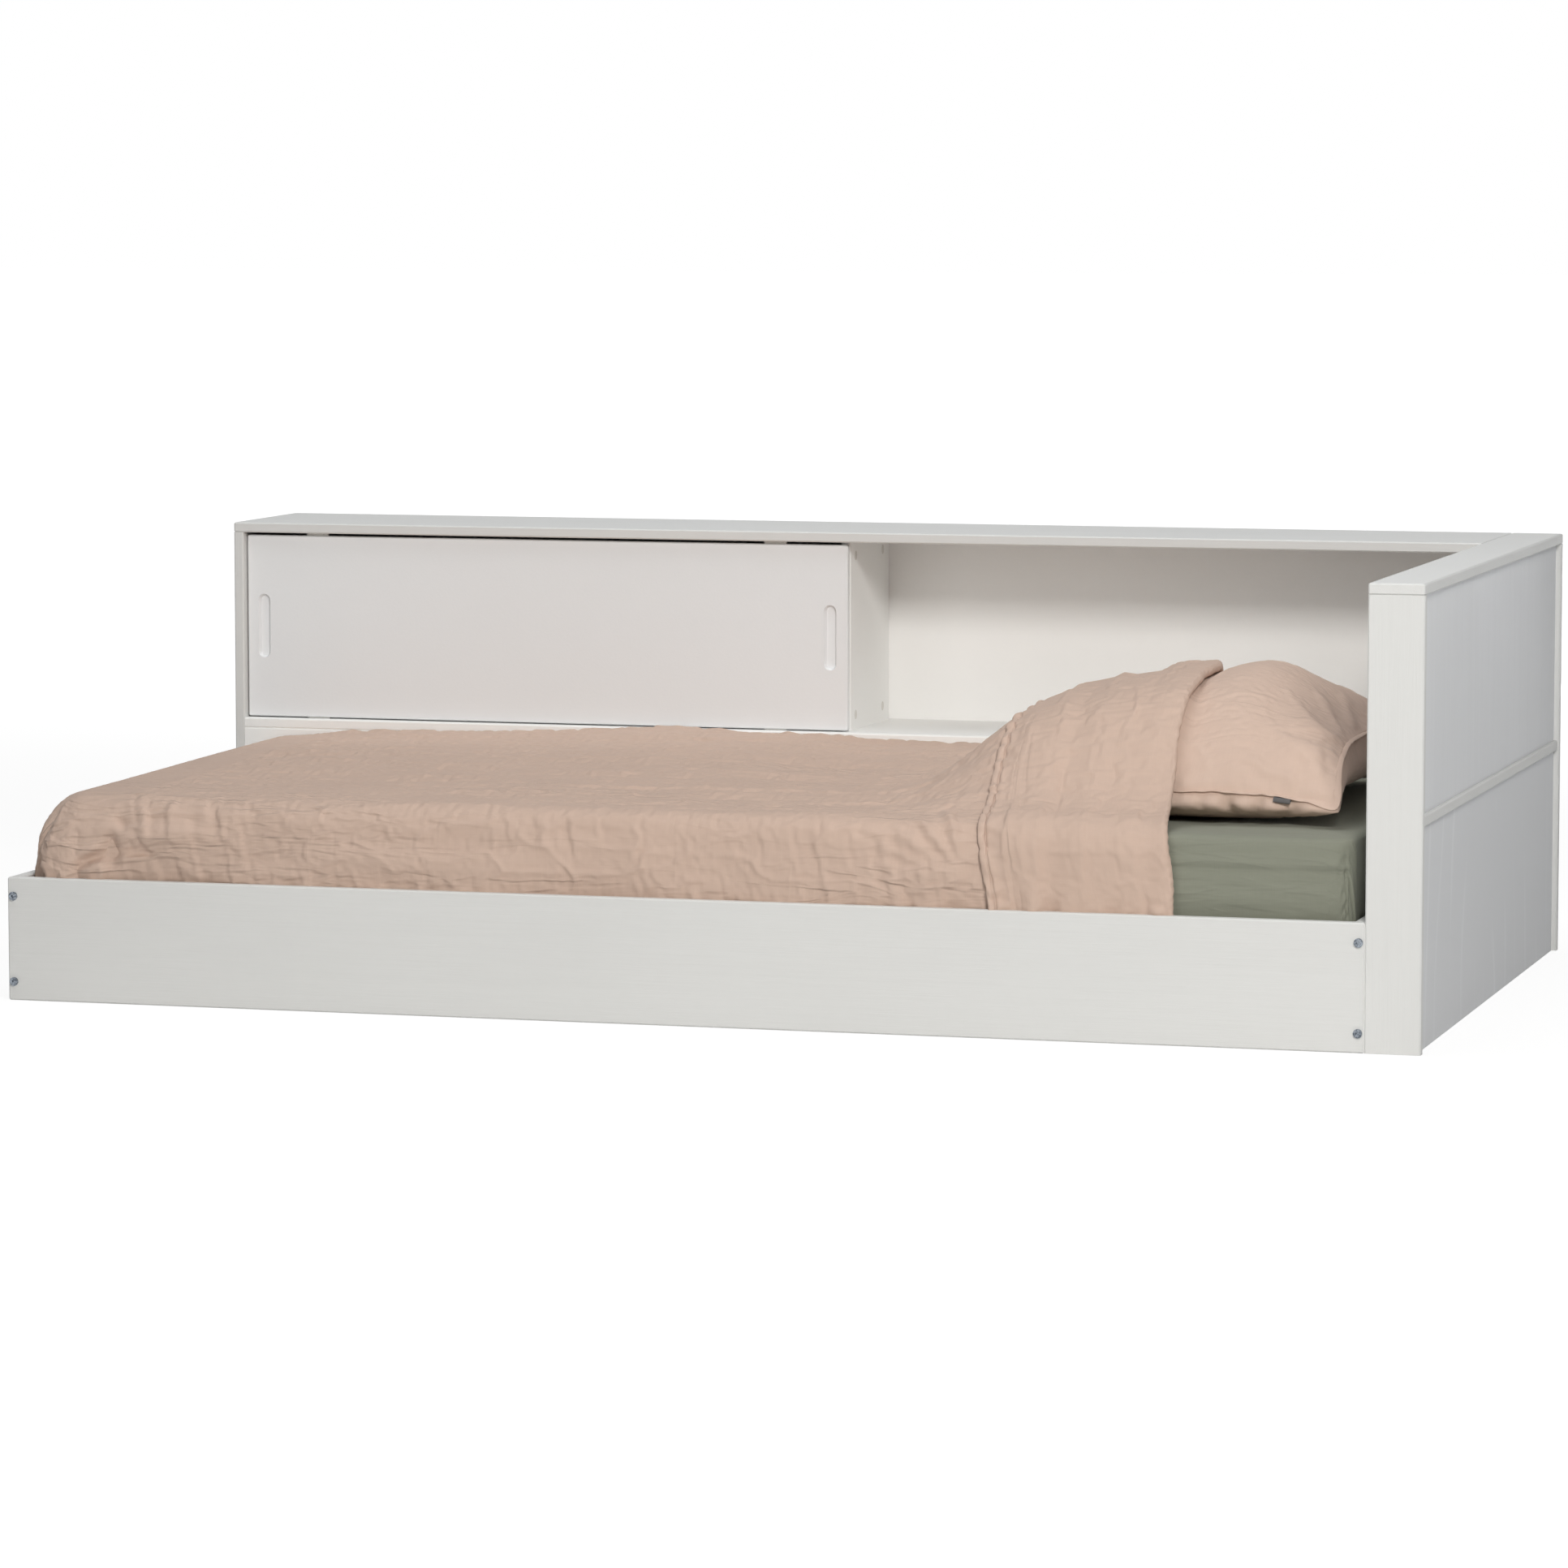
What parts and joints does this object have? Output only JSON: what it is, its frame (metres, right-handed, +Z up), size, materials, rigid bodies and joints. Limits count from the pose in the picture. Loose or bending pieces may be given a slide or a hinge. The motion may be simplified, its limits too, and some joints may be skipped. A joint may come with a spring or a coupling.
{
  "type": "floor bed",
  "caption": "Low single bed with a panelled headboard, a storage case with a sliding door along its back, and a made-up mattress, duvet and pillow.",
  "frame": {"origin": "on the floor, in the middle of the footprint", "axes": "+X along the bed to the headboard, +Y across the bed to the storage case at the back, +Z up"},
  "size_m": [2.126, 1.233, 0.66],
  "materials": {
    "white_board": "white melamine-faced board, satin",
    "back_board": "thin white faced board, matt",
    "core_wood": "planed softwood",
    "slat_wood": "planed softwood",
    "zinc": "zinc plated",
    "white_plastic": "moulded, matt",
    "webbing": "woven tape",
    "ticking": "woven cover over foam",
    "sheet_fabric": "plain woven cotton, grey green",
    "pillow_fabric": "washed linen weave, pale rose",
    "duvet_fabric": "washed linen weave, rose beige"
  },
  "bodies": {
    "frame": {"cam_bolts": "zinc", "cam_locks": "white_plastic", "case_back_left": "back_board", "case_back_right": "back_board", "case_divider": "white_board", "case_front_panel": "white_board", "case_left_end": "white_board", "case_right_end": "white_board", "case_shelf": "white_board", "case_support": "white_board", "case_top": "white_board", "connector_bolts": "zinc", "corner_bolts": "zinc", "duvet": "duvet_fabric", "fitted_sheet": "sheet_fabric", "foot_board": "white_board", "front_ledger": "slat_wood", "front_rail": "white_board", "head_bottom_rail": "core_wood", "head_cap": "white_board", "head_end_board": "white_board", "head_front_upright": "white_board", "head_middle_rail": "core_wood", "head_rear_upright": "white_board", "head_top_rail": "core_wood", "inner_batten": "white_board", "inner_lower_panel": "white_board", "inner_upper_panel": "white_board", "mattress": "ticking", "outer_batten": "white_board", "outer_lower_panel": "white_board", "outer_upper_panel": "white_board", "pillow": "pillow_fabric", "rear_ledger": "slat_wood", "rear_rail": "white_board", "slat_01": "slat_wood", "slat_02": "slat_wood", "slat_03": "slat_wood", "slat_04": "slat_wood", "slat_05": "slat_wood", "slat_06": "slat_wood", "slat_07": "slat_wood", "slat_08": "slat_wood", "slat_09": "slat_wood", "slat_10": "slat_wood", "slat_11": "slat_wood", "slat_12": "slat_wood", "slat_13": "slat_wood", "slat_14": "slat_wood", "slat_tapes": "webbing"},
    "sliding_door": {"door": "white_board", "door_glides": "white_plastic", "door_guides": "white_plastic"}
  },
  "joints": [
    {"name": "door_slide", "type": "slide", "parent": "frame", "child": "sliding_door", "axis": [1, 0, 0], "range_m": [0, 0.997]}
  ]
}
